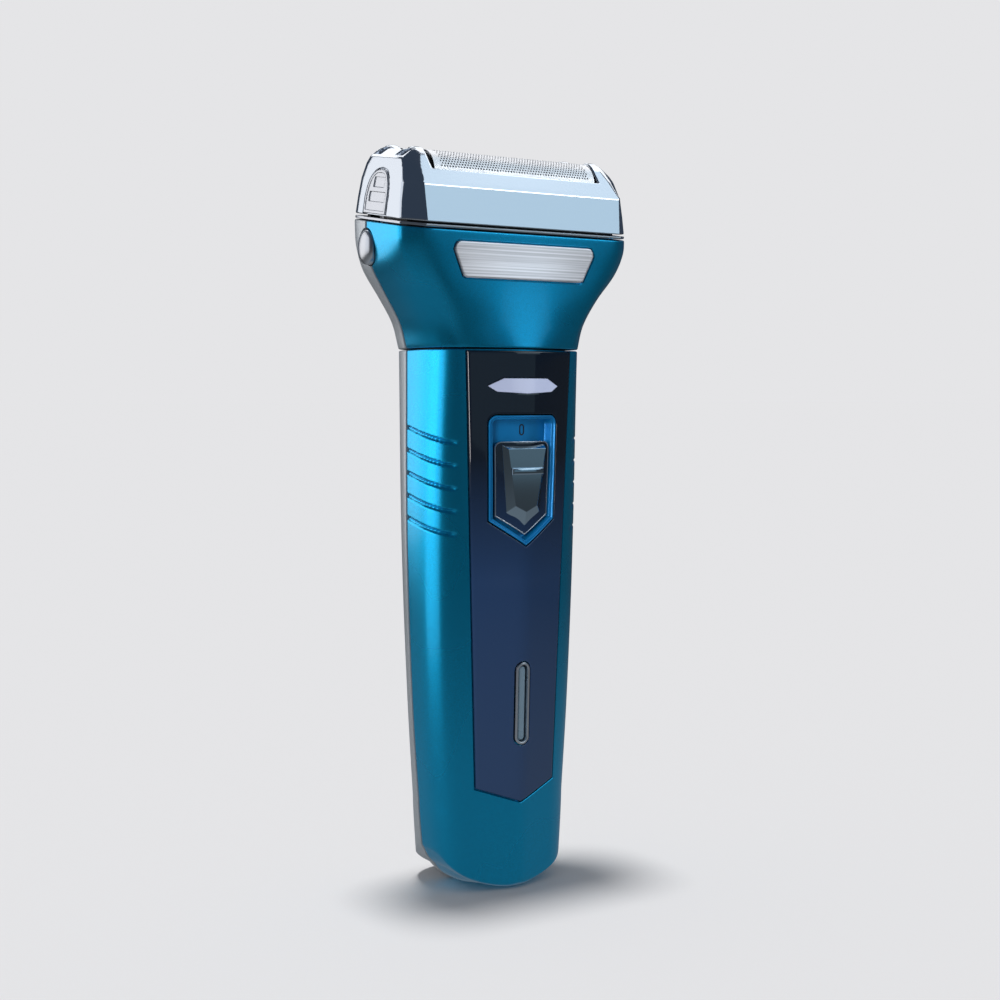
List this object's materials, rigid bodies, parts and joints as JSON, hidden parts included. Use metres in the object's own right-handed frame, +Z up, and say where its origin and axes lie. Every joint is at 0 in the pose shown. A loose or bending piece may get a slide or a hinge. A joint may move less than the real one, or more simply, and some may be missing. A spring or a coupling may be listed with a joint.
{
  "type": "electric shaver",
  "caption": "Cordless foil shaver with a tapering handle, sliding power switch, flared pull-off shaving attachment, lift-off foil head and oscillating sprung cutters.",
  "frame": {"origin": "centre of the flat foot under the handle, on the surface an upright handle would stand on", "axes": "+X to the right-hand side seen from the front, the front (switch side) faces -Y, +Z up the handle towards the foils"},
  "size_m": [0.064, 0.0334, 0.17],
  "materials": {
    "blue_paint": "metallic turquoise lacquer over moulded plastic",
    "grey_plastic": "silver-grey metallic lacquer over moulded plastic",
    "gloss_black": "high-gloss black-blue cover panel",
    "deep_blue": "satin blue moulding",
    "slider_gloss": "dark mirror-gloss plated plastic",
    "chrome": "chrome-plated plastic",
    "satin_silver": "satin silver",
    "brushed_badge": "brushed plate with a horizontal grain",
    "inlay": "pale pearl inlay",
    "black_plastic": "moulded black plastic",
    "rubber": "black rubber ring",
    "foil_steel": "thin polished perforated steel",
    "steel": "bright steel",
    "screw_steel": "zinc-plated steel screws",
    "dark_steel": "drawn steel motor can",
    "brass": "plated brass contacts",
    "board": "green glass-fibre circuit board",
    "lens": "grey-blue translucent light guide",
    "cell_wrap": "printed sleeve over a metal can",
    "white_plastic": "natural white acetal"
  },
  "bodies": {
    "handle": {"front_shell": "blue_paint", "rear_shell": "grey_plastic", "front_panel": "gloss_black", "panel_inlay": "inlay", "switch_well": "deep_blue", "charge_light_bezel": "satin_silver", "charge_light_lens": "lens", "circuit_board": "board", "slide_switch": "steel", "charge_led": "white_plastic", "light_pipe": "lens", "battery_cell": "cell_wrap", "battery_contact_low": "brass", "battery_contact_high": "brass", "battery_cradle": "black_plastic", "motor": "dark_steel", "motor_bracket": "black_plastic", "charging_socket": "black_plastic", "left_socket_pin": "brass", "right_socket_pin": "brass", "shell_screw_1": "screw_steel", "shell_screw_2": "screw_steel", "shell_screw_3": "screw_steel", "shell_screw_4": "screw_steel", "coupling_collar": "black_plastic", "collar_seal": "rubber"},
    "power_switch": {"switch_slider": "slider_gloss", "switch_actuator": "black_plastic"},
    "rotor": {"motor_shaft": "steel", "eccentric_cam": "white_plastic"},
    "attachment": {"neck_front_shell": "blue_paint", "neck_rear_shell": "grey_plastic", "badge_plate": "brushed_badge", "neck_screw_1": "screw_steel", "neck_screw_2": "screw_steel", "trim_ring": "satin_silver", "head_chassis": "black_plastic", "left_flex_leg": "steel", "right_flex_leg": "steel", "left_button_spring": "steel", "right_button_spring": "steel"},
    "left_button": {"left_release_button": "satin_silver"},
    "right_button": {"right_release_button": "satin_silver"},
    "oscillator": {"oscillator_bridge": "white_plastic", "front_cutter_spring": "steel", "rear_cutter_spring": "steel"},
    "front_cutter": {"front_cutter_carrier": "black_plastic", "front_cutter_blades": "steel"},
    "rear_cutter": {"rear_cutter_carrier": "black_plastic", "rear_cutter_blades": "steel"},
    "foil_head": {"foil_frame": "chrome", "foil_holder": "black_plastic", "front_foil": "foil_steel", "rear_foil": "foil_steel", "left_end_insert": "satin_silver", "right_end_insert": "satin_silver"}
  },
  "joints": [
    {"name": "power_switch_slide", "type": "slide", "parent": "handle", "child": "power_switch", "axis": [0, 0, 1], "range_m": [0, 0.0042]},
    {"name": "motor_spin", "type": "hinge", "parent": "handle", "child": "rotor", "pos_m": [0, 0.0022, 0.1259], "axis": [0, 0, 1], "continuous": true},
    {"name": "attachment_pull_off", "type": "slide", "parent": "handle", "child": "attachment", "axis": [0, 0, 1], "range_m": [0, 0.03]},
    {"name": "left_release_press", "type": "slide", "parent": "attachment", "child": "left_button", "axis": [1, 0, 0], "range_m": [0, 0.0015], "stiffness_N_per_m": 400, "springref_m": -0.001, "deforming": ["left_button_spring"]},
    {"name": "right_release_press", "type": "slide", "parent": "attachment", "child": "right_button", "axis": [-1, 0, 0], "range_m": [0, 0.0015], "stiffness_N_per_m": 400, "springref_m": -0.001, "deforming": ["right_button_spring"]},
    {"name": "cutter_oscillation", "type": "slide", "parent": "attachment", "child": "oscillator", "axis": [1, 0, 0], "range_m": [-0.0008, 0.0008], "deforming": ["left_flex_leg", "right_flex_leg"]},
    {"name": "front_cutter_float", "type": "slide", "parent": "oscillator", "child": "front_cutter", "axis": [0, 0.1564, -0.9877], "range_m": [0, 0.0015], "stiffness_N_per_m": 200, "springref_m": -0.001, "deforming": ["front_cutter_spring"]},
    {"name": "rear_cutter_float", "type": "slide", "parent": "oscillator", "child": "rear_cutter", "axis": [0, 0.1564, -0.9877], "range_m": [0, 0.0015], "stiffness_N_per_m": 200, "springref_m": -0.001, "deforming": ["rear_cutter_spring"]},
    {"name": "foil_head_lift", "type": "slide", "parent": "attachment", "child": "foil_head", "axis": [0, -0.1564, 0.9877], "range_m": [0, 0.025]}
  ]
}
